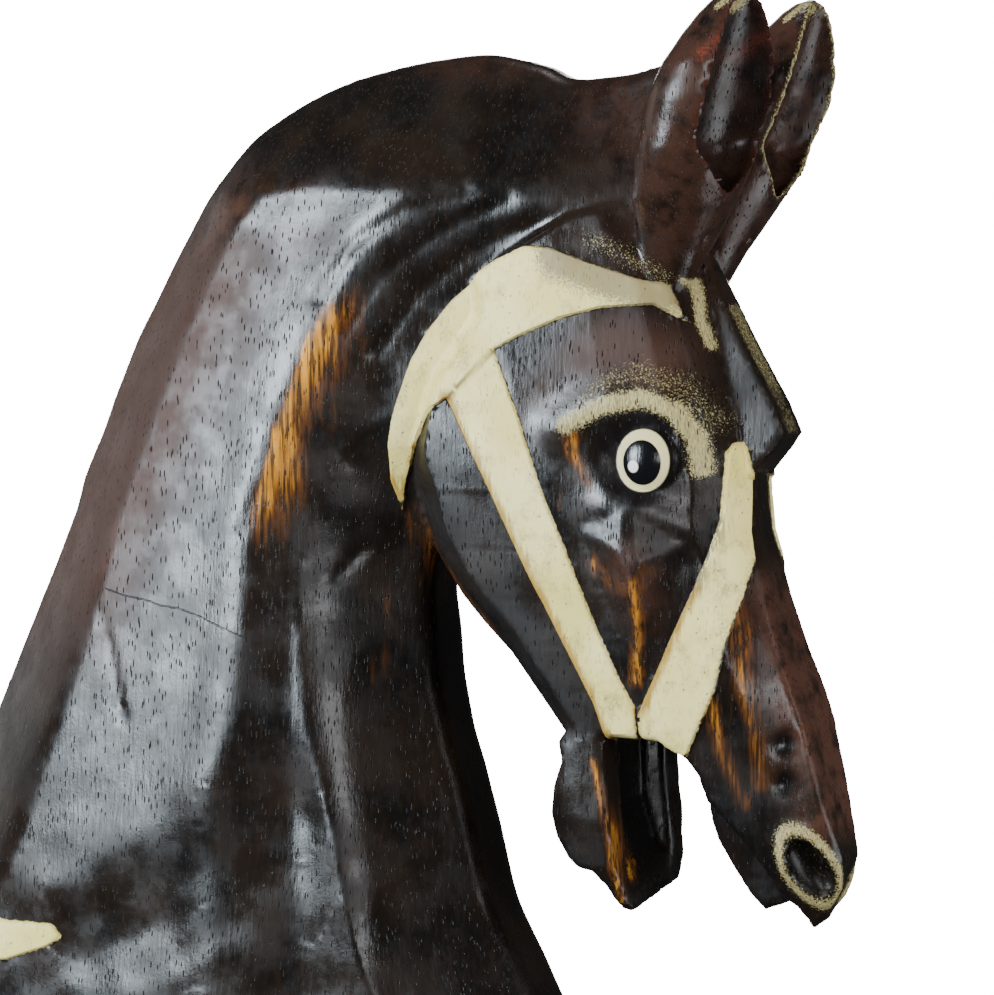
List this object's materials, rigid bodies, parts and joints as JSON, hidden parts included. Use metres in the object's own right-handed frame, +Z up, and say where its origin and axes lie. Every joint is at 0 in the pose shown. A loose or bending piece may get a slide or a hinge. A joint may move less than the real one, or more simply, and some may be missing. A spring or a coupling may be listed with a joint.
{
  "type": "carved wooden rocking horse head",
  "caption": "Carved and stained wooden rocking horse's head and neck with raised painted bridle straps, cut flat below as a bust.",
  "frame": {"origin": "centre plane of the flat underside, on which the bust stands", "axes": "+X is where the nose points, +Y is to the horse's left, +Z is up"},
  "size_m": [0.4792, 0.122, 0.4344],
  "materials": {
    "stained_wood": "glossy near-black wood stain under lacquer, amber where it is thin, with open pores and worn cream paint on the carved straps, eye, brow and nostril"
  },
  "bodies": {
    "root": {"horse_head_and_neck": "stained_wood"}
  },
  "joints": []
}
